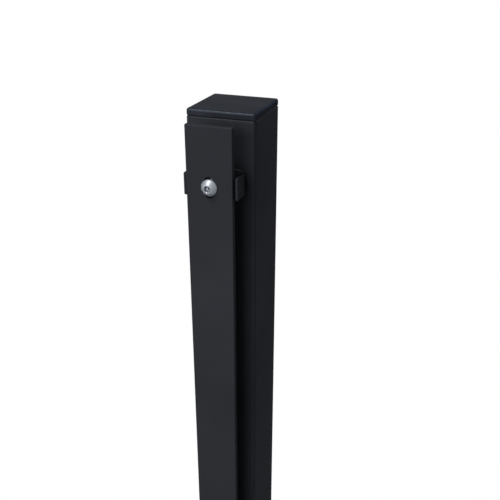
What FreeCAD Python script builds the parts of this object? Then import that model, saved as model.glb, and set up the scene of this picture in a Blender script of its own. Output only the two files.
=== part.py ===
import FreeCAD, Part
import math
import os
import Sketcher

# Steel fence post for welded wire panels, in millimetres.
# A square tube stands in the ground. In front of it a flat cover strip is screwed through folded
# brackets into the tube, and the ends of two panels are clamped in the gap behind the strip.
# The origin is the centre of the tube's foot, +Z is up, and -Y is the side of the strip.

# Driving dimensions

dimensions = {
    "tube_width": (60, "side of the square tube"),
    "tube_wall": (2, "wall of the tube"),
    "tube_inside_corner": (0.5, "radius inside the tube's corners, one wall less than outside"),
    "tube_end": (0.8, "broken outer edge of the tube's ends"),
    "foot_length": (470, "tube below the strip: set in the ground, and a hand's width above it"),

    "cap_thickness": (6, "flange of the cap"),
    "cap_round": (1.8, "rounded upper edge of the cap"),
    "cap_seam": (0.8, "broken lower edge of the cap, which shows as a seam"),
    "plug_depth": (20, "plug of the cap in the tube"),
    "plug_wall": (2, "wall of the plug"),
    "plug_corner": (3, "outer radius of the plug's corners"),
    "plug_lead": (0.8, "chamfer that leads the plug into the tube"),
    "rib_reach": (1.2, "how far a sealing rib stands out of the plug"),
    "rib_thickness": (1.2, "thickness of a sealing rib"),
    "rib_pitch": (5, "distance from one sealing rib to the next"),
    "rib_count": (3, "sealing ribs on the plug"),
    "rib_fit": (0.1, "gap between a sealing rib and the tube"),

    "strip_width": (40, "width of the flat bar"),
    "strip_thickness": (5, "thickness of the flat bar"),
    "strip_edge": (0.6, "rounded long edges of the flat bar"),
    "strip_end": (0.4, "broken edges of the flat bar's sawn ends"),
    "strip_tail": (180, "strip below the lowest screw"),
    "slot_width": (9, "width of a slot in the strip"),
    "slot_length": (18, "height of a slot in the strip, end to end"),

    "panel_gap": (20, "gap between strip and tube, which holds the panels"),

    "fixing_count": (3, "screwed fixings along the post"),
    "fixing_drop": (50, "highest screw below the top of the tube"),
    "fixing_pitch": (400, "distance from one screw to the next"),

    "sheet": (2.5, "sheet that a bracket is folded from"),
    "bend": (6, "inner radius of a bracket's folds"),
    "bracket_height": (19, "height of a bracket"),
    "bracket_side_gap": (1, "gap between the strip's edge and a bracket's ear"),
    "bracket_embrace": (2.5, "how far the ears reach along the strip's edges"),
    "ear_corner": (1, "rounded corners of a bracket's ears"),
    "sheet_edge": (0.4, "broken edges of the sheet"),

    "nut_shank": (11, "hexagonal shank of a rivet nut across its flats"),
    "nut_fit": (0.05, "gap all round between the shank and its hole"),
    "nut_flange": (8, "radius of a rivet nut's flange"),
    "nut_flange_thickness": (1.5, "thickness of that flange"),
    "nut_bulge": (14, "bulge that the setting tool folds up, across its flats"),
    "nut_bulge_fold": (3, "length of the bulge along the nut"),
    "nut_length": (15, "rivet nut behind its flange"),

    "screw_radius": (4, "radius of the screw over its thread"),
    "thread_fit": (0.05, "gap between the screw and the nut's thread"),
    "screw_overrun": (3, "screw past the end of the nut"),
    "head_radius": (7, "radius of the button head"),
    "head_height": (4.4, "height of the button head"),
    "head_rim": (0.6, "straight rim of the head, under its taper"),
    "head_flat": (3.9, "radius of the flat in the middle of the head"),
    "socket_size": (5, "hexagon socket across its flats"),
    "socket_depth": (2.6, "depth of the socket"),
    "pin_radius": (0.9, "pin that stands in the socket"),
    "pin_drop": (0.5, "how far the pin ends below the mouth of the socket"),
}

doc = FreeCAD.newDocument("fence_post")
sizes = doc.addObject("Spreadsheet::Sheet", "Sizes")
for row, (alias, (number, meaning)) in enumerate(dimensions.items(), 1):
    sizes.set(f"A{row}", alias)
    sizes.set(f"B{row}", str(number))
    sizes.setAlias(f"B{row}", alias)
    sizes.set(f"C{row}", meaning)
doc.recompute()

# Places that follow from the driving dimensions

half_tube = "(Sizes.tube_width / 2)"
tube_corner = "(Sizes.tube_inside_corner + Sizes.tube_wall)"
inside_half = f"({half_tube} - Sizes.tube_wall)"
rib_half = f"({inside_half} - Sizes.rib_fit)"
rib_corner = "(Sizes.tube_inside_corner + Sizes.rib_fit)"
plug_half = f"({rib_half} - Sizes.rib_reach)"
strip_length = "(Sizes.fixing_drop + (Sizes.fixing_count - 1) * Sizes.fixing_pitch + Sizes.strip_tail)"
tube_length = f"(Sizes.foot_length + {strip_length})"
bracket_half = "(Sizes.strip_width / 2 + Sizes.bracket_side_gap + Sizes.sheet)"
bracket_depth = "(Sizes.panel_gap + Sizes.bracket_embrace)"
nut_grip = "(Sizes.sheet + Sizes.tube_wall)"
nut_hole = "(Sizes.nut_shank + 2 * Sizes.nut_fit)"
screw_length = (
    "(Sizes.strip_thickness + Sizes.panel_gap - Sizes.sheet + Sizes.nut_length + Sizes.screw_overrun)"
)


def fixing_level(index):
    return f"({tube_length} - Sizes.fixing_drop - {index} * Sizes.fixing_pitch)"


def number_of(expression):
    return float(sizes.evalExpression(str(expression)))


# Bodies, sketches and features

tolerance = 1e-4  # how near two places are the same one


def new_body(name, y="0", z="0"):
    body = doc.addObject("PartDesign::Body", name)
    body.Label = name
    body.setExpression("Placement.Base.y", y)
    body.setExpression("Placement.Base.z", z)
    return body


def new_sketch(body, name, plane, offset="0"):
    sketch = body.newObject("Sketcher::SketchObject", f"{body.Label}_{name}")
    origin_plane = next(item for item in body.Origin.OriginFeatures if item.Role == plane)
    sketch.AttachmentSupport = [(origin_plane, "")]
    sketch.MapMode = "FlatFace"
    sketch.setExpression("AttachmentOffset.Base.z", offset)
    return sketch


def bind(sketch, kind, references, expression):
    number = number_of(expression)
    constraint = sketch.addConstraint(Sketcher.Constraint(kind, *references, number))
    sketch.setExpression(f"Constraints[{constraint}]", str(expression))


def place_point(sketch, point, x, y):
    # A point is held from the origin (-1, 1), by distances that are never negative.
    for kind, axis, distance in (("DistanceX", -2, x), ("DistanceY", -1, y)):
        number = number_of(distance)
        if number == 0:
            sketch.addConstraint(Sketcher.Constraint("PointOnObject", *point, axis))
        elif number > 0:
            bind(sketch, kind, (-1, 1, *point), distance)
        else:
            bind(sketch, kind, (*point, -1, 1), f"-({distance})")


def line_between(start, end):
    return Part.LineSegment(FreeCAD.Vector(*start, 0), FreeCAD.Vector(*end, 0))


def arc_between(start, end, radius, turns_left):
    chord = math.dist(start, end)
    rise = math.sqrt(radius ** 2 - chord ** 2 / 4)
    if not turns_left:
        rise = -rise
    centre_x = (start[0] + end[0]) / 2 - rise * (end[1] - start[1]) / chord
    centre_y = (start[1] + end[1]) / 2 + rise * (end[0] - start[0]) / chord
    angles = [math.atan2(y - centre_y, x - centre_x) for x, y in (start, end)]
    if not turns_left:
        angles.reverse()
    circle = Part.Circle(FreeCAD.Vector(centre_x, centre_y, 0), FreeCAD.Vector(0, 0, 1), radius)
    return Part.ArcOfCircle(circle, *angles)


def outline(sketch, corners):
    # Each corner is (x, y), or (x, y, radius, turn) where an arc leaves it, with turn left or right.
    sides = []
    for corner, following in zip(corners, corners[1:] + corners[:1]):
        start = (number_of(corner[0]), number_of(corner[1]))
        end = (number_of(following[0]), number_of(following[1]))
        if len(corner) == 2:
            side = sketch.addGeometry(line_between(start, end), False)
            sides.append((side, 1, 2))
        else:
            turns_left = corner[3] == "left"
            arc = arc_between(start, end, number_of(corner[2]), turns_left)
            side = sketch.addGeometry(arc, False)
            sides.append((side, 1, 2) if turns_left else (side, 2, 1))
    for (side, first, last), (following, next_first, next_last) in zip(sides, sides[1:] + sides[:1]):
        sketch.addConstraint(Sketcher.Constraint("Coincident", side, last, following, next_first))
    for (side, first, last), corner in zip(sides, corners):
        place_point(sketch, (side, first), corner[0], corner[1])
        if len(corner) == 4:
            bind(sketch, "Radius", (side,), corner[2])


def rounded_square(sketch, half, radius):
    flat = f"({half} - {radius})"
    outline(sketch, [
        (half, f"-{flat}"),
        (half, flat, radius, "left"),
        (flat, half),
        (f"-{flat}", half, radius, "left"),
        (f"-{half}", flat),
        (f"-{half}", f"-{flat}", radius, "left"),
        (f"-{flat}", f"-{half}"),
        (flat, f"-{half}", radius, "left"),
    ])


def upright_slot(sketch, height, length, width):
    radius = number_of(width) / 2
    reach = (number_of(length) - number_of(width)) / 2
    middle = number_of(height)
    normal = FreeCAD.Vector(0, 0, 1)
    high = Part.Circle(FreeCAD.Vector(0, middle + reach, 0), normal, radius)
    low = Part.Circle(FreeCAD.Vector(0, middle - reach, 0), normal, radius)
    right = sketch.addGeometry(line_between((radius, middle - reach), (radius, middle + reach)), False)
    upper = sketch.addGeometry(Part.ArcOfCircle(high, 0, math.pi), False)
    left = sketch.addGeometry(line_between((-radius, middle + reach), (-radius, middle - reach)), False)
    lower = sketch.addGeometry(Part.ArcOfCircle(low, math.pi, 2 * math.pi), False)
    for side, following in ((right, upper), (upper, left), (left, lower), (lower, right)):
        sketch.addConstraint(Sketcher.Constraint("Tangent", side, 2, following, 1))
    sketch.addConstraint(Sketcher.Constraint("Equal", upper, lower))
    place_point(sketch, (upper, 3), "0", f"({height} + ({length} - {width}) / 2)")
    place_point(sketch, (lower, 3), "0", f"({height} - ({length} - {width}) / 2)")
    bind(sketch, "Radius", (upper,), f"({width} / 2)")


def circle(sketch, radius, height="0"):
    centre = FreeCAD.Vector(0, number_of(height), 0)
    ring = Part.Circle(centre, FreeCAD.Vector(0, 0, 1), number_of(radius))
    edge = sketch.addGeometry(ring, False)
    place_point(sketch, (edge, 3), "0", height)
    bind(sketch, "Radius", (edge,), radius)


def hexagon(sketch, across_flats, height="0"):
    flat = f"({across_flats} / 2)"
    side = f"({across_flats} / 2 / sqrt(3))"
    point = f"({across_flats} / sqrt(3))"
    outline(sketch, [
        (flat, f"({height} - {side})"),
        (flat, f"({height} + {side})"),
        ("0", f"({height} + {point})"),
        (f"-{flat}", f"({height} + {side})"),
        (f"-{flat}", f"({height} - {side})"),
        ("0", f"({height} - {point})"),
    ])


def pad(sketch, length, reverse=False, midplane=False):
    body = sketch.getParentGeoFeatureGroup()
    feature = body.newObject("PartDesign::Pad", f"{sketch.Name}_pad")
    feature.Profile = sketch
    feature.setExpression("Length", length)
    feature.Reversed = reverse
    feature.Midplane = midplane
    doc.recompute()
    return feature


def revolve(sketch):
    body = sketch.getParentGeoFeatureGroup()
    feature = body.newObject("PartDesign::Revolution", f"{sketch.Name}_revolve")
    feature.Profile = sketch
    feature.ReferenceAxis = (sketch, ["V_Axis"])
    feature.Angle = 360
    doc.recompute()
    return feature


def pocket(sketch, depth):
    body = sketch.getParentGeoFeatureGroup()
    whole = body.Shape.Volume
    feature = body.newObject("PartDesign::Pocket", f"{sketch.Name}_pocket")
    feature.Profile = sketch
    feature.setExpression("Length", depth)
    doc.recompute()
    if feature.Shape.Volume >= whole:
        raise RuntimeError(f"{feature.Name} cuts nothing")
    return feature


def repeat(feature, axis, count, spacing):
    # The copies run down the sketch's own upright axis, or back along its normal.
    body = feature.getParentGeoFeatureGroup()
    pattern = body.newObject("PartDesign::LinearPattern", f"{feature.Name}_pattern")
    pattern.Originals = [feature]
    pattern.Direction = (feature.Profile[0], [axis])
    pattern.Reversed = True
    pattern.Mode = "Spacing"
    pattern.setExpression("Occurrences", count)
    pattern.setExpression("Offset", spacing)
    body.Tip = pattern
    doc.recompute()
    return pattern


def dress(kind, feature, size_name, size, wanted):
    # A fillet or a chamfer on the edges that the test picks.
    body = feature.getParentGeoFeatureGroup()
    edges = [f"Edge{number}" for number, edge in enumerate(feature.Shape.Edges, 1) if wanted(edge)]
    dressed = body.newObject(f"PartDesign::{kind}", f"{feature.Name}_{kind.lower()}")
    dressed.Base = (feature, edges)
    dressed.setExpression(size_name, size)
    body.Tip = dressed
    doc.recompute()
    return dressed


def lies_at(edge, height):
    low, high = edge.BoundBox.ZMin, edge.BoundBox.ZMax
    return abs(low - height) < tolerance and abs(high - height) < tolerance


def on_outer_loop(edge, half):
    # True where an end of the edge lies on the square that has the given half width.
    reach = [max(abs(corner.X), abs(corner.Y)) for corner in edge.Vertexes]
    return any(abs(distance - half) < tolerance for distance in reach)


# The tube, open at its foot, with a hexagonal hole in its front wall for each rivet nut

def make_tube():
    body = new_body("post_tube")
    section = new_sketch(body, "section", "XY_Plane")
    rounded_square(section, half_tube, tube_corner)
    rounded_square(section, inside_half, "Sizes.tube_inside_corner")
    tube = pad(section, tube_length)

    top = number_of(tube_length)
    half = number_of(half_tube)
    dress("Chamfer", tube, "Size", "Sizes.tube_end",
          lambda edge: (lies_at(edge, 0) or lies_at(edge, top)) and on_outer_loop(edge, half))

    drilling = new_sketch(body, "drilling", "XZ_Plane", half_tube)
    hexagon(drilling, nut_hole, fixing_level(0))
    holes = pocket(drilling, half_tube)
    repeat(holes, "V_Axis", "Sizes.fixing_count", "Sizes.fixing_pitch")


# The cap: a flange as wide as the tube, and a hollow plug with sealing ribs that grip inside it

def make_cap():
    body = new_body("post_cap", z=tube_length)
    top_view = new_sketch(body, "flange", "XY_Plane")
    rounded_square(top_view, half_tube, tube_corner)
    flange = pad(top_view, "Sizes.cap_thickness")
    top = number_of("Sizes.cap_thickness")
    flange = dress("Fillet", flange, "Radius", "Sizes.cap_round", lambda edge: lies_at(edge, top))
    dress("Chamfer", flange, "Size", "Sizes.cap_seam", lambda edge: lies_at(edge, 0))

    ring = new_sketch(body, "plug", "XY_Plane")
    rounded_square(ring, plug_half, "Sizes.plug_corner")
    rounded_square(ring, f"({plug_half} - Sizes.plug_wall)", "(Sizes.plug_corner / 2)")
    plug = pad(ring, "Sizes.plug_depth", reverse=True)
    end = -number_of("Sizes.plug_depth")
    half = number_of(plug_half)
    dress("Chamfer", plug, "Size", "Sizes.plug_lead",
          lambda edge: lies_at(edge, end) and on_outer_loop(edge, half))

    rib_ring = new_sketch(body, "rib", "XY_Plane", "-Sizes.rib_pitch")
    rounded_square(rib_ring, rib_half, rib_corner)
    rounded_square(rib_ring, f"({plug_half} - Sizes.plug_wall / 2)", "(Sizes.plug_corner / 2)")
    rib = pad(rib_ring, "Sizes.rib_thickness", reverse=True)
    repeat(rib, "N_Axis", "Sizes.rib_count", "Sizes.rib_pitch")


# The cover strip: flat bar with an upright slot at each screw

def make_strip():
    body = new_body("cover_strip", y=f"-({half_tube} + Sizes.panel_gap)", z="Sizes.foot_length")
    front_view = new_sketch(body, "front", "XZ_Plane")
    half_width = "(Sizes.strip_width / 2)"
    outline(front_view, [
        (f"-{half_width}", "0"),
        (half_width, "0"),
        (half_width, strip_length),
        (f"-{half_width}", strip_length),
    ])
    bar = pad(front_view, "Sizes.strip_thickness")
    bar = dress("Fillet", bar, "Radius", "Sizes.strip_edge", lambda edge: edge.BoundBox.ZLength > tolerance)
    top = number_of(strip_length)
    dress("Chamfer", bar, "Size", "Sizes.strip_end", lambda edge: lies_at(edge, 0) or lies_at(edge, top))

    cut = new_sketch(body, "slot", "XZ_Plane", "Sizes.strip_thickness")
    upright_slot(cut, f"({strip_length} - Sizes.fixing_drop)", "Sizes.slot_length", "Sizes.slot_width")
    slot = pocket(cut, "Sizes.strip_thickness")
    repeat(slot, "V_Axis", "Sizes.fixing_count", "Sizes.fixing_pitch")


# A bracket: sheet folded to a U, whose web lies on the tube and whose ears hold the strip's edges

def make_bracket(index):
    body = new_body(f"bracket_{index + 1}", y=f"-{half_tube}", z=fixing_level(index))
    plan = new_sketch(body, "plan", "XY_Plane")
    outer_bend = "(Sizes.bend + Sizes.sheet)"
    inner_half = f"({bracket_half} - Sizes.sheet)"
    web_half = f"({bracket_half} - {outer_bend})"
    outline(plan, [
        (bracket_half, f"-{bracket_depth}"),
        (bracket_half, f"-{outer_bend}", outer_bend, "left"),
        (web_half, "0"),
        (f"-{web_half}", "0", outer_bend, "left"),
        (f"-{bracket_half}", f"-{outer_bend}"),
        (f"-{bracket_half}", f"-{bracket_depth}"),
        (f"-{inner_half}", f"-{bracket_depth}"),
        (f"-{inner_half}", f"-{outer_bend}", "Sizes.bend", "right"),
        (f"-{web_half}", "-Sizes.sheet"),
        (web_half, "-Sizes.sheet", "Sizes.bend", "right"),
        (inner_half, f"-{outer_bend}"),
        (inner_half, f"-{bracket_depth}"),
    ])
    folded = pad(plan, "Sizes.bracket_height", midplane=True)
    front = -number_of(bracket_depth)
    top = number_of("Sizes.bracket_height / 2")
    rounded = dress("Fillet", folded, "Radius", "Sizes.ear_corner",
                    lambda edge: abs(edge.BoundBox.YMax - front) < tolerance
                    and (lies_at(edge, top) or lies_at(edge, -top)))
    dress("Chamfer", rounded, "Size", "Sizes.sheet_edge",
          lambda edge: lies_at(edge, top) or lies_at(edge, -top))

    drilling = new_sketch(body, "drilling", "XZ_Plane", "Sizes.sheet")
    hexagon(drilling, nut_hole)
    pocket(drilling, "Sizes.sheet")


# A rivet nut after setting: flange in front of the web, hexagonal shank, bulge behind the tube's wall

def make_rivet_nut(index):
    web_front = f"-({half_tube} + Sizes.sheet)"
    body = new_body(f"rivet_nut_{index + 1}", y=web_front, z=fixing_level(index))
    flange = new_sketch(body, "flange", "XZ_Plane")
    circle(flange, "Sizes.nut_flange")
    pad(flange, "Sizes.nut_flange_thickness")
    shank = new_sketch(body, "shank", "XZ_Plane")
    hexagon(shank, "Sizes.nut_shank")
    pad(shank, "Sizes.nut_length", reverse=True)
    bulge = new_sketch(body, "bulge", "XZ_Plane", f"-{nut_grip}")
    hexagon(bulge, "Sizes.nut_bulge")
    pad(bulge, "Sizes.nut_bulge_fold", reverse=True)
    bore = new_sketch(body, "bore", "XZ_Plane", "Sizes.nut_flange_thickness")
    circle(bore, "Sizes.screw_radius")
    pocket(bore, "(Sizes.nut_flange_thickness + Sizes.nut_length)")


# A button-head screw through the strip's slot into the rivet nut, with a pin in its hexagon socket

def make_screw(index):
    strip_front = f"-({half_tube} + Sizes.panel_gap + Sizes.strip_thickness)"
    body = new_body(f"screw_{index + 1}", y=strip_front, z=fixing_level(index))
    profile = new_sketch(body, "profile", "XY_Plane")
    shank = "(Sizes.screw_radius - Sizes.thread_fit)"
    outline(profile, [
        ("0", "-Sizes.head_height"),
        ("Sizes.head_flat", "-Sizes.head_height"),
        ("Sizes.head_radius", "-Sizes.head_rim"),
        ("Sizes.head_radius", "0"),
        (shank, "0"),
        (shank, screw_length),
        ("0", screw_length),
    ])
    revolve(profile)

    mouth = new_sketch(body, "socket", "XZ_Plane", "Sizes.head_height")
    hexagon(mouth, "Sizes.socket_size")
    pocket(mouth, "Sizes.socket_depth")

    floor = new_sketch(body, "pin", "XZ_Plane", "(Sizes.head_height - Sizes.socket_depth)")
    circle(floor, "Sizes.pin_radius")
    pad(floor, "(Sizes.socket_depth - Sizes.pin_drop)")


make_tube()
make_cap()
make_strip()
for fixing in range(dimensions["fixing_count"][0]):
    make_bracket(fixing)
    make_rivet_nut(fixing)
    make_screw(fixing)
doc.recompute()

# Every object has to be whole before anything is written

for item in doc.Objects:
    if {"Invalid", "Error"} & set(item.State):
        raise RuntimeError(f"{item.Name} has failed: {item.State}")

os.makedirs("parts", exist_ok=True)
for body in doc.findObjects("PartDesign::Body"):
    if body.Shape.isNull() or not body.Shape.isValid() or len(body.Shape.Solids) != 1:
        raise RuntimeError(f"{body.Label} is not one sound solid")
for body in doc.findObjects("PartDesign::Body"):
    body.Shape.exportStep(f"parts/{body.Label}.step")
    print(body.Label, round(body.Shape.Volume), body.Shape.BoundBox)
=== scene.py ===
import math

import bmesh
import bpy
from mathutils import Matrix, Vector


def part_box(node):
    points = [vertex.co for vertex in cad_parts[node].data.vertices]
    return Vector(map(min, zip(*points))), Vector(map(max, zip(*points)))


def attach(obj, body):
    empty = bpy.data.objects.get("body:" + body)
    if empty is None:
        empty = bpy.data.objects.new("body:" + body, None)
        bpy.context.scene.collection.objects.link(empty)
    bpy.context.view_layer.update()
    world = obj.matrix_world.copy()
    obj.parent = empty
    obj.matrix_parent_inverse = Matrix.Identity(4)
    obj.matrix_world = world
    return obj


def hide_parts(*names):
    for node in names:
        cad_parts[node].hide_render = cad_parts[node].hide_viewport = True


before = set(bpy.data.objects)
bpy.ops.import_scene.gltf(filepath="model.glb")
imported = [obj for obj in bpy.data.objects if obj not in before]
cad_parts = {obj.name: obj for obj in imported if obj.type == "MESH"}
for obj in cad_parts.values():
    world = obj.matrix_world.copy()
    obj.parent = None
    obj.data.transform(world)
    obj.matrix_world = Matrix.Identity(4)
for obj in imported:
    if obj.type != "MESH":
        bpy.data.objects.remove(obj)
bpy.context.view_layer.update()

# Steel fence post: looks for the tube, its cap, the cover strip and the clamp fixings.
# Everything is in metres. The foot of the tube is at the origin, +Z is up, the strip is on the -Y side.

print("frame loaded:", len(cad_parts), "nodes")


# Node helpers

# The two noise values that become the ends of a blend. The closer they are, the stronger the contrast.
strongContrast = (0.35, 0.65)
softContrast = (0.3, 0.7)


def newMaterial(name):
    material = bpy.data.materials.new(name)
    material.use_nodes = True
    tree = material.node_tree
    tree.nodes.clear()
    output = tree.nodes.new("ShaderNodeOutputMaterial")
    shader = tree.nodes.new("ShaderNodeBsdfPrincipled")
    tree.links.new(shader.outputs["BSDF"], output.inputs["Surface"])
    return material, tree, shader


def objectPlace(tree):
    return tree.nodes.new("ShaderNodeTexCoord").outputs["Object"]


def splitAxes(tree, place):
    node = tree.nodes.new("ShaderNodeSeparateXYZ")
    tree.links.new(place, node.inputs["Vector"])
    return node.outputs


def vectorLength(tree, vector):
    node = tree.nodes.new("ShaderNodeVectorMath")
    node.operation = "LENGTH"
    tree.links.new(vector, node.inputs[0])
    return node.outputs["Value"]


def noise(tree, place, scale, detail=2.0, stretch=None):
    if stretch:
        mapping = tree.nodes.new("ShaderNodeMapping")
        mapping.inputs["Scale"].default_value = stretch
        tree.links.new(place, mapping.inputs["Vector"])
        place = mapping.outputs["Vector"]
    node = tree.nodes.new("ShaderNodeTexNoise")
    node.inputs["Scale"].default_value = scale
    node.inputs["Detail"].default_value = detail
    tree.links.new(place, node.inputs["Vector"])
    return node.outputs["Fac"]


def spread(tree, value, low, high, toLow=0.0, toHigh=1.0):
    node = tree.nodes.new("ShaderNodeMapRange")
    node.inputs["From Min"].default_value = low
    node.inputs["From Max"].default_value = high
    node.inputs["To Min"].default_value = toLow
    node.inputs["To Max"].default_value = toHigh
    tree.links.new(value, node.inputs["Value"])
    return node.outputs["Result"]


def calculate(tree, operation, first, second=None):
    node = tree.nodes.new("ShaderNodeMath")
    node.operation = operation
    for socket, value in zip(node.inputs, (first, second)):
        if value is None:
            continue
        if isinstance(value, (int, float)):
            socket.default_value = value
        else:
            tree.links.new(value, socket)
    return node.outputs["Value"]


def blendColours(tree, factor, first, second):
    node = tree.nodes.new("ShaderNodeMix")
    node.data_type = "RGBA"
    tree.links.new(factor, node.inputs["Factor"])
    # The node's sockets 6 and 7 and its output 2 are the ones for colours.
    for socket, colour in ((node.inputs[6], first), (node.inputs[7], second)):
        if isinstance(colour, (tuple, list)):
            socket.default_value = (*colour, 1)
        else:
            tree.links.new(colour, socket)
    return node.outputs[2]


def blendValues(tree, factor, first, second):
    node = tree.nodes.new("ShaderNodeMix")
    tree.links.new(factor, node.inputs["Factor"])
    # The node's sockets 2 and 3 and its output 0 are the ones for plain values.
    tree.links.new(first, node.inputs[2])
    tree.links.new(second, node.inputs[3])
    return node.outputs[0]


def addBump(tree, height, distance, normal=None):
    node = tree.nodes.new("ShaderNodeBump")
    node.inputs["Strength"].default_value = 1.0
    node.inputs["Distance"].default_value = distance
    tree.links.new(height, node.inputs["Height"])
    if normal:
        tree.links.new(normal, node.inputs["Normal"])
    return node.outputs["Normal"]


def softEdges(tree, radius, samples=6):
    node = tree.nodes.new("ShaderNodeBevel")
    node.samples = samples
    node.inputs["Radius"].default_value = radius
    return node.outputs["Normal"]


def connectFinish(tree, shader, finish, tone, rough, normal):
    shader.inputs["Metallic"].default_value = finish["metal"]
    shader.inputs["Specular IOR Level"].default_value = finish["specular"]
    shader.inputs["Specular Tint"].default_value = finish["shine"]
    tree.links.new(tone, shader.inputs["Base Color"])
    tree.links.new(rough, shader.inputs["Roughness"])
    tree.links.new(normal, shader.inputs["Normal"])


# Finishes

coat = {
    "dark": (0.0208, 0.0222, 0.0262),
    "light": (0.0250, 0.0267, 0.0314),
    "cloudScale": 9.0,      # slow change between the two tones
    "fleckTone": (0.045, 0.049, 0.054),
    "fleckScale": 2600.0,
    "fleckRange": (0.62, 0.80),     # only the noise's peaks show as flecks
    "fleckShare": 0.35,
    "roughness": (0.40, 0.50),
    "peelScale": 620.0,
    "peel": 0.000006,       # depth of the orange peel
    "grain": 0.0000015,     # height of the flecks
    "edge": 0.0006,         # film rounded over an edge
    "metal": 0.16,          # share of fine metal flake in the coat
    "shine": (0.45, 0.45, 0.45, 1.0),
    "specular": 0.0,
}

# The tube's inner faces are bare sheet, with the line of its weld up the back wall.
galvanised = {
    "dull": (0.30, 0.31, 0.32),
    "bright": (0.42, 0.43, 0.45),
    "roughness": (0.38, 0.52),
    "spangleScale": 160.0,
    "inside": (0.0284, 0.0286),     # distance from the tube's axis where bare sheet turns to coat
    "weldTone": (0.12, 0.125, 0.15),
    "weldWidth": (0.0010, 0.0022),  # distance from the wall's middle where the line fades, and ends
    "weldWall": (0.0270, 0.0276),   # distance back from the axis where the line appears, and is full
    "weldHeight": 0.0002,
}


def bareInside(tree, place):
    axes = splitAxes(tree, place)
    aside = calculate(tree, "ABSOLUTE", axes["X"])
    reach = calculate(tree, "MAXIMUM", aside, calculate(tree, "ABSOLUTE", axes["Y"]))
    inside = spread(tree, reach, *galvanised["inside"], 1.0, 0.0)
    spangle = noise(tree, place, galvanised["spangleScale"])
    spots = spread(tree, spangle, *strongContrast)
    tone = blendColours(tree, spots, galvanised["dull"], galvanised["bright"])
    weld = spread(tree, aside, *galvanised["weldWidth"], 1.0, 0.0)
    weld = calculate(tree, "MULTIPLY", weld, spread(tree, axes["Y"], *galvanised["weldWall"]))
    tone = blendColours(tree, weld, tone, galvanised["weldTone"])
    rough = spread(tree, spangle, *softContrast, *galvanised["roughness"])
    return inside, tone, rough, weld


def anthraciteCoat(name, insideTube=False):
    material, tree, shader = newMaterial(name)
    place = objectPlace(tree)
    cloud = noise(tree, place, coat["cloudScale"], detail=3.0)
    fleck = noise(tree, place, coat["fleckScale"], detail=1.0)
    peel = noise(tree, place, coat["peelScale"])
    tone = blendColours(tree, spread(tree, cloud, *strongContrast), coat["dark"], coat["light"])
    flecks = spread(tree, fleck, *coat["fleckRange"], 0.0, coat["fleckShare"])
    tone = blendColours(tree, flecks, tone, coat["fleckTone"])
    rough = spread(tree, peel, *softContrast, *coat["roughness"])
    normal = softEdges(tree, coat["edge"])
    normal = addBump(tree, peel, coat["peel"], normal)
    normal = addBump(tree, fleck, coat["grain"], normal)
    if insideTube:
        inside, bareTone, bareRough, weld = bareInside(tree, place)
        tone = blendColours(tree, inside, tone, bareTone)
        rough = blendValues(tree, inside, rough, bareRough)
        normal = addBump(tree, weld, galvanised["weldHeight"], normal)
        metal = spread(tree, inside, 0.0, 1.0, coat["metal"], 1.0)
        tree.links.new(metal, shader.inputs["Metallic"])
    connectFinish(tree, shader, coat, tone, rough, normal)
    return material


cap = {
    "dark": (0.0184, 0.0206, 0.0259),
    "light": (0.0216, 0.0242, 0.0305),
    "flowScale": 22.0,
    "flowStretch": (1.0, 3.0, 1.0),     # the marks of the moulding run along X
    "roughness": (0.27, 0.35),
    "grainScale": 1900.0,
    "grain": 0.000004,
    "edge": 0.0004,
    "metal": 0.43,
    "shine": (0.395, 0.395, 0.395, 1.0),    # under about 0.39 dark patches show on its side
    "specular": 0.0,
}


def capPlastic():
    material, tree, shader = newMaterial("cap_plastic_satin")
    place = objectPlace(tree)
    flow = noise(tree, place, cap["flowScale"], stretch=cap["flowStretch"])
    grain = noise(tree, place, cap["grainScale"], detail=3.0)
    tone = blendColours(tree, spread(tree, flow, *strongContrast), cap["dark"], cap["light"])
    rough = spread(tree, grain, *softContrast, *cap["roughness"])
    normal = addBump(tree, grain, cap["grain"], softEdges(tree, cap["edge"]))
    connectFinish(tree, shader, cap, tone, rough, normal)
    return material


steel = {
    "dull": (0.236, 0.254, 0.282),
    "bright": (0.290, 0.312, 0.345),
    "cloudScale": 380.0,
    "roughness": (0.48, 0.38),      # of the dull spots and of the bright ones
    "metal": 0.63,          # satin: the rest of the light is scattered
    "shine": (0.3, 0.3, 0.3, 1.0),
    "specular": 0.0,
    "ring": 0.00022,        # pitch of the turned rings on the head
    "ringDepth": 0.0000012,
}


def screwSteel():
    material, tree, shader = newMaterial("stainless_turned")
    place = objectPlace(tree)
    # Rings round the screw's own axis, as the lathe leaves them.
    axes = splitAxes(tree, place)
    across = tree.nodes.new("ShaderNodeCombineXYZ")
    tree.links.new(axes["X"], across.inputs["X"])
    tree.links.new(axes["Z"], across.inputs["Z"])
    radius = vectorLength(tree, across.outputs["Vector"])
    turns = calculate(tree, "MULTIPLY", radius, 2 * math.pi / steel["ring"])
    turns = calculate(tree, "SINE", turns)
    cloud = noise(tree, place, steel["cloudScale"], detail=3.0)
    tone = blendColours(tree, spread(tree, cloud, *softContrast), steel["dull"], steel["bright"])
    rough = spread(tree, cloud, *softContrast, *steel["roughness"])
    connectFinish(tree, shader, steel, tone, rough, addBump(tree, turns, steel["ringDepth"]))
    return material


zinc = {
    "dull": (0.34, 0.35, 0.36),
    "bright": (0.52, 0.53, 0.55),
    "cloudScale": 300.0,
    "roughness": (0.48, 0.30),      # of the dull spots and of the bright ones
    "grainScale": 2400.0,
    "grain": 0.000002,
    "metal": 1.0,
    "shine": (1.0, 1.0, 1.0, 1.0),
    "specular": 0.5,
}


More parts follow.
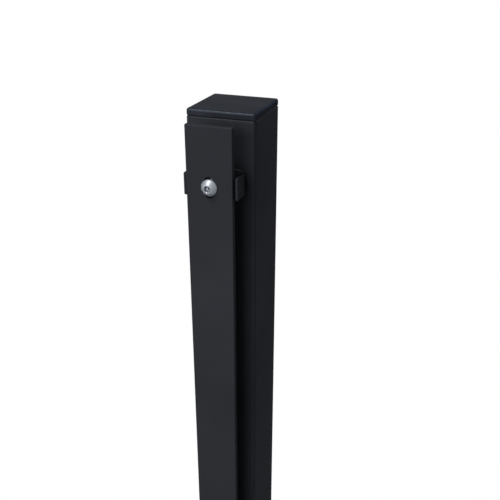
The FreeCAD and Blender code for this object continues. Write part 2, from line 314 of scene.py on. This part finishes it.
def zincPlating():
    material, tree, shader = newMaterial("zinc_plating")
    place = objectPlace(tree)
    cloud = noise(tree, place, zinc["cloudScale"], detail=3.0)
    fine = noise(tree, place, zinc["grainScale"])
    tone = blendColours(tree, spread(tree, cloud, *softContrast), zinc["dull"], zinc["bright"])
    rough = spread(tree, cloud, *softContrast, *zinc["roughness"])
    connectFinish(tree, shader, zinc, tone, rough, addBump(tree, fine, zinc["grain"]))
    return material


def dressNode(name, material):
    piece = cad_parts[name]
    piece.data.materials.clear()
    piece.data.materials.append(material)


tubeCoat = anthraciteCoat("anthracite_coat_tube", insideTube=True)
sheetCoat = anthraciteCoat("anthracite_coat_sheet")
stainless = screwSteel()
plated = zincPlating()
dressNode("post_tube", tubeCoat)
dressNode("cover_strip", sheetCoat)
dressNode("post_cap", capPlastic())
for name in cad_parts:
    if name.startswith("bracket"):
        dressNode(name, sheetCoat)
    if name.startswith("rivet_nut"):
        dressNode(name, plated)
    if name.startswith("screw"):
        dressNode(name, stainless)
print("finishes on the packed nodes")


# Turned pieces

creaseAngle = math.radians(38)      # edges sharper than this stay sharp


def hexagonReach(angle, acrossFlats, corner=1.0):
    # Distance from the axis to a hexagon's side. A corner under 1 cuts the points off.
    folded = (angle + math.pi / 6) % (math.pi / 3) - math.pi / 6
    return min(acrossFlats / 2 / math.cos(folded), corner * acrossFlats / math.sqrt(3))


def turnedMesh(name, rows, sides, closed):
    # Each row is (radius, depth), and either may be a function of the angle. The axis is Y.
    shape = bmesh.new()
    rings = []
    for radius, depth in rows:
        ring = []
        for step in range(sides):
            angle = 2 * math.pi * step / sides
            reach = radius(angle) if callable(radius) else radius
            along = depth(angle) if callable(depth) else depth
            ring.append(shape.verts.new((reach * math.cos(angle), along, reach * math.sin(angle))))
        rings.append(ring)
    pairs = list(zip(rings, rings[1:]))
    if closed:
        pairs.append((rings[-1], rings[0]))
    for ring, following in pairs:
        for step in range(sides):
            after = (step + 1) % sides
            shape.faces.new((ring[step], ring[after], following[after], following[step]))
    if not closed:
        for ring in (rings[0], rings[-1]):
            middle = shape.verts.new((0, sum(vertex.co.y for vertex in ring) / sides, 0))
            for step in range(sides):
                shape.faces.new((ring[step], ring[(step + 1) % sides], middle))
    bmesh.ops.recalc_face_normals(shape, faces=shape.faces)
    mesh = bpy.data.meshes.new(name)
    shape.to_mesh(mesh)
    shape.free()
    mesh.shade_smooth()
    mesh.set_sharp_from_angle(angle=creaseAngle)
    piece = bpy.data.objects.new(name, mesh)
    bpy.context.scene.collection.objects.link(piece)
    return piece


screw = {
    "sides": 72,
    "headRadius": 0.0070,
    "headHeight": 0.0044,
    "flat": 0.0032,         # radius of the flat ring round the socket
    "dome": 0.0140,         # radius of the head's arched profile, from the flat down to the rim
    "domeSteps": 12,
    "rim": 0.0005,          # height of the rim's upright edge
    "rimRound": ((0.0, 0.00015), (0.0001, 0.00003), (0.0003, 0.0)),    # in from the rim, out from the strip
    "mouth": 0.00305,       # radius of the countersink at the socket
    "socket": 0.0050,       # across flats
    "socketDepth": 0.0026,
    "socketFoot": (0.97, 0.00008),      # where the wall meets the floor: share of its reach, and height
    "pin": 0.0009,
    "pinDrop": 0.0005,      # the pin's top below the head's flat
    "pinRound": ((0.6, 0.0), (0.9, 0.00004), (1.0, 0.00015)),    # share of its radius, and depth
    "neck": 0.0004,         # fillet between head and shank
    "crest": 0.00394,
    "root": 0.00330,
    "pitch": 0.00125,
    "pitchSteps": 8,
    "flank": 2.6,           # steepness of the thread's sides
    "rootFlat": 0.15,       # share of the thread's depth that the flat root cuts off
    "threadStart": 0.0008,  # from the head
    "threadStop": 0.0009,   # from the point
    "fadeIn": 0.0012,
    "fadeOut": 0.0010,
    "pointLength": 0.0008,
    "pointTaper": 0.0006,
}


def socketWall(angle):
    return hexagonReach(angle, screw["socket"])


def screwRows(length):
    top = -screw["headHeight"]
    floor = top + screw["socketDepth"]
    pinTop = top + screw["pinDrop"]
    footShare, footHeight = screw["socketFoot"]
    rows = [(screw["pin"] * share, pinTop + drop) for share, drop in screw["pinRound"]]
    rows += [
        (screw["pin"], floor),
        (lambda angle: socketWall(angle) * footShare, floor),
        (socketWall, floor - footHeight),
        (socketWall, lambda angle: top + (screw["mouth"] - socketWall(angle))),
        (screw["mouth"], top),
        (screw["flat"], top),
    ]
    # the arch of the head, from the flat round the socket to the rim
    across = screw["headRadius"] - screw["flat"]
    drop = screw["headHeight"] - screw["rim"]
    middle = math.atan2(drop, across)
    half = math.asin(math.hypot(across, drop) / 2 / screw["dome"])
    start = middle - half
    for step in range(1, screw["domeSteps"] + 1):
        tilt = start + 2 * half * step / screw["domeSteps"]
        rows.append((screw["flat"] + screw["dome"] * (math.sin(tilt) - math.sin(start)),
                     top + screw["dome"] * (math.cos(start) - math.cos(tilt))))
    rows += [(screw["headRadius"] - inset, -rise) for inset, rise in screw["rimRound"]]
    neck = screw["neck"]
    rows += [
        (screw["crest"] + neck, 0.0),
        (screw["crest"] + neck / 4, neck / 2),
        (screw["root"] + neck / 2, neck * 1.5),
    ]
    depth = screw["threadStart"]
    while depth < length - screw["threadStop"]:
        rows.append((threadReach(depth, length), depth))
        depth += screw["pitch"] / screw["pitchSteps"]
    rows += [
        (screw["root"], length - screw["pointLength"]),
        (screw["root"] - screw["pointTaper"], length),
    ]
    return rows


def threadReach(depth, length):
    # The thread's depth fades in under the head and out at the point.
    fadeIn = max(0.0, (depth - screw["threadStart"]) / screw["fadeIn"])
    fadeOut = max(0.0, (length - screw["threadStop"] - depth) / screw["fadeOut"])
    fade = min(1.0, fadeIn, fadeOut)

    def reach(angle):
        place = (depth / screw["pitch"] - angle / (2 * math.pi)) % 1.0
        ramp = (0.5 - abs(place - 0.5)) * screw["flank"] - screw["rootFlat"]
        height = min(1.0, max(0.0, ramp))
        return screw["root"] + (screw["crest"] - screw["root"]) * height * fade

    return reach


nut = {
    "sides": 72,
    "bore": 0.00402,
    "mouthBevel": 0.0003,   # at the bore's front
    "flange": 0.0080,
    "flangeThickness": 0.0015,
    # the flange's rounded edges: in from its rim, and back from its front or out from its seat
    "frontRound": ((0.0004, 0.0), (0.0001, 0.00012), (0.0, 0.0004)),
    "seatRound": ((0.0, 0.0003), (0.0001, 0.00006), (0.0003, 0.0)),
    "tubeWall": 0.002,      # thickness of the tube's sheet, with the fold behind it
    "shank": 0.0110,        # across flats
    "corner": 0.965,        # the hexagon's points are cut off at this share of their reach
    "bulge": 0.0140,        # across flats, at the middle of the fold
    "bulgeLength": 0.0030,
    "bulgeSteps": 10,
    "bulgePower": 0.6,      # the lower, the fuller the fold
    "foldStep": 0.00001,    # keeps the fold's ends clear of the shank's rings
    "endBevel": 0.0004,
}


def nutHexagon(acrossFlats):
    return lambda angle: hexagonReach(angle, acrossFlats, nut["corner"])


def nutRows(grip, length):
    front = -nut["flangeThickness"]
    rows = [
        (nut["bore"], front + nut["mouthBevel"]),
        (nut["bore"] + nut["mouthBevel"], front),
    ]
    rows += [(nut["flange"] - inset, front + drop) for inset, drop in nut["frontRound"]]
    rows += [(nut["flange"] - inset, -rise) for inset, rise in nut["seatRound"]]
    rows += [
        (nutHexagon(nut["shank"]), 0.0),
        (nutHexagon(nut["shank"]), grip),
    ]
    # the fold that the setting tool presses up behind the wall
    for step in range(nut["bulgeSteps"] + 1):
        turn = math.pi * step / nut["bulgeSteps"]
        width = nut["shank"] + (nut["bulge"] - nut["shank"]) * math.sin(turn) ** nut["bulgePower"]
        width = max(width, nut["shank"] + 2 * nut["foldStep"])
        rows.append((nutHexagon(width),
                     grip + nut["bulgeLength"] * (1 - math.cos(turn)) / 2 + nut["foldStep"]))
    rows += [
        (nutHexagon(nut["shank"]), length - nut["endBevel"]),
        (nutHexagon(nut["shank"] - 2 * nut["endBevel"]), length),
        (nut["bore"] + nut["endBevel"], length),
        (nut["bore"], length - nut["endBevel"]),
    ]
    return rows


def placeTurned(kind, number, rows, sides, closed, material, seat):
    node = f"{kind}_{number}"
    low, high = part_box(node)
    piece = turnedMesh(f"{node}_turned", rows, sides, closed)
    piece.data.materials.append(material)
    piece.location = (0, seat, (low.z + high.z) / 2)
    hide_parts(node)
    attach(piece, "root")


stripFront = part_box("cover_strip")[0].y
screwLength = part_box("screw_1")[1].y - stripFront
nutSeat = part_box("rivet_nut_1")[0].y + nut["flangeThickness"]
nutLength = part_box("rivet_nut_1")[1].y - nutSeat
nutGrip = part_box("post_tube")[0].y + nut["tubeWall"] - nutSeat
for number in (1, 2, 3):
    placeTurned("screw", number, screwRows(screwLength), screw["sides"], False,
                stainless, stripFront)
    placeTurned("rivet_nut", number, nutRows(nutGrip, nutLength), nut["sides"], True,
                plated, nutSeat)
print("screws and rivet nuts turned")


# Floor, light and camera

studio = {
    "floorSize": 120.0,
    "floorTone": (0.80, 0.80, 0.80, 1.0),
    "shadowReach": (0.35, 0.80),    # where the floor round the foot fades to plain white
    "plainWhite": (1.0, 1.0, 1.0, 1.0),
    "skyTone": (0.93, 0.96, 1.0, 1.0),
    "skyStrength": 0.02,
    "aim": (0.0, -0.04, 1.30),
    # each lamp: the side that it shines from, its distance, width, height and power
    "lamps": {
        "softbox_front": ((-0.36, -0.87, 0.32), 3.0, 3.2, 1.4, 82.0),
        "softbox_above": ((-0.23, -0.36, 0.90), 2.6, 0.8, 0.8, 62.0),
        "softbox_back": ((0.32, 0.87, 0.36), 3.0, 1.4, 1.4, 54.0),
    },
    "cameraSide": (0.20937, -0.53514),
    "cameraAbove": 0.13911,         # above the tube's top
    "cameraTilt": math.radians(65),
    "cameraTurn": math.radians(20),
    "cameraLens": 50,               # millimetres, as is the sensor
    "cameraSensor": 36,
    "cameraReach": 200,
}


def shownRays(tree):
    # Camera, glossy and transmission rays see the plain white studio.
    path = tree.nodes.new("ShaderNodeLightPath")
    seen = calculate(tree, "MAXIMUM", path.outputs["Is Camera Ray"], path.outputs["Is Glossy Ray"])
    return calculate(tree, "MAXIMUM", seen, path.outputs["Is Transmission Ray"])


def glow(tree, kind, colour, strength):
    node = tree.nodes.new(kind)
    node.inputs["Color"].default_value = colour
    node.inputs["Strength"].default_value = strength
    return node.outputs[0]


def mixToSurface(tree, output, factor, own, white):
    mix = tree.nodes.new("ShaderNodeMixShader")
    tree.links.new(factor, mix.inputs["Fac"])
    tree.links.new(own, mix.inputs[1])
    tree.links.new(white, mix.inputs[2])
    tree.links.new(mix.outputs["Shader"], output.inputs["Surface"])


def floorMaterial():
    # A matt floor that takes the shadow round the foot and is plain white farther out.
    material = bpy.data.materials.new("studio_floor")
    material.use_nodes = True
    tree = material.node_tree
    tree.nodes.clear()
    output = tree.nodes.new("ShaderNodeOutputMaterial")
    matt = tree.nodes.new("ShaderNodeBsdfDiffuse")
    matt.inputs["Color"].default_value = studio["floorTone"]
    white = glow(tree, "ShaderNodeEmission", studio["plainWhite"], 1.0)
    far = spread(tree, vectorLength(tree, objectPlace(tree)), *studio["shadowReach"])
    factor = calculate(tree, "MULTIPLY", shownRays(tree), far)
    mixToSurface(tree, output, factor, matt.outputs["BSDF"], white)
    return material


def makeFloor():
    half = studio["floorSize"] / 2
    corners = [(-half, -half, 0), (half, -half, 0), (half, half, 0), (-half, half, 0)]
    mesh = bpy.data.meshes.new("studio_floor")
    mesh.from_pydata(corners, [], [(0, 1, 2, 3)])
    mesh.materials.append(floorMaterial())
    floor = bpy.data.objects.new("studio_floor", mesh)
    bpy.context.scene.collection.objects.link(floor)


def makeSky():
    world = bpy.data.worlds.new("studio_sky")
    bpy.context.scene.world = world
    world.use_nodes = True
    tree = world.node_tree
    tree.nodes.clear()
    output = tree.nodes.new("ShaderNodeOutputWorld")
    soft = glow(tree, "ShaderNodeBackground", studio["skyTone"], studio["skyStrength"])
    white = glow(tree, "ShaderNodeBackground", studio["plainWhite"], 1.0)
    mixToSurface(tree, output, shownRays(tree), soft, white)


def makeLamps():
    for name, (side, distance, width, height, power) in studio["lamps"].items():
        lamp = bpy.data.lights.new(name, "AREA")
        lamp.shape = "RECTANGLE"
        lamp.size = width
        lamp.size_y = height
        lamp.energy = power
        light = bpy.data.objects.new(name, lamp)
        bpy.context.scene.collection.objects.link(light)
        direction = Vector(side).normalized()
        light.location = Vector(studio["aim"]) + direction * distance
        light.rotation_euler = direction.to_track_quat("Z", "Y").to_euler()


def makeCamera():
    lens = bpy.data.cameras.new("camera")
    lens.lens = studio["cameraLens"]
    lens.sensor_width = studio["cameraSensor"]
    lens.clip_end = studio["cameraReach"]
    camera = bpy.data.objects.new("camera", lens)
    bpy.context.scene.collection.objects.link(camera)
    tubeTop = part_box("post_tube")[1].z
    camera.location = (*studio["cameraSide"], tubeTop + studio["cameraAbove"])
    camera.rotation_euler = (studio["cameraTilt"], 0, studio["cameraTurn"])
    bpy.context.scene.camera = camera


makeFloor()
makeSky()
makeLamps()
makeCamera()
bpy.context.scene.view_settings.view_transform = "Standard"
print("floor, light and camera")
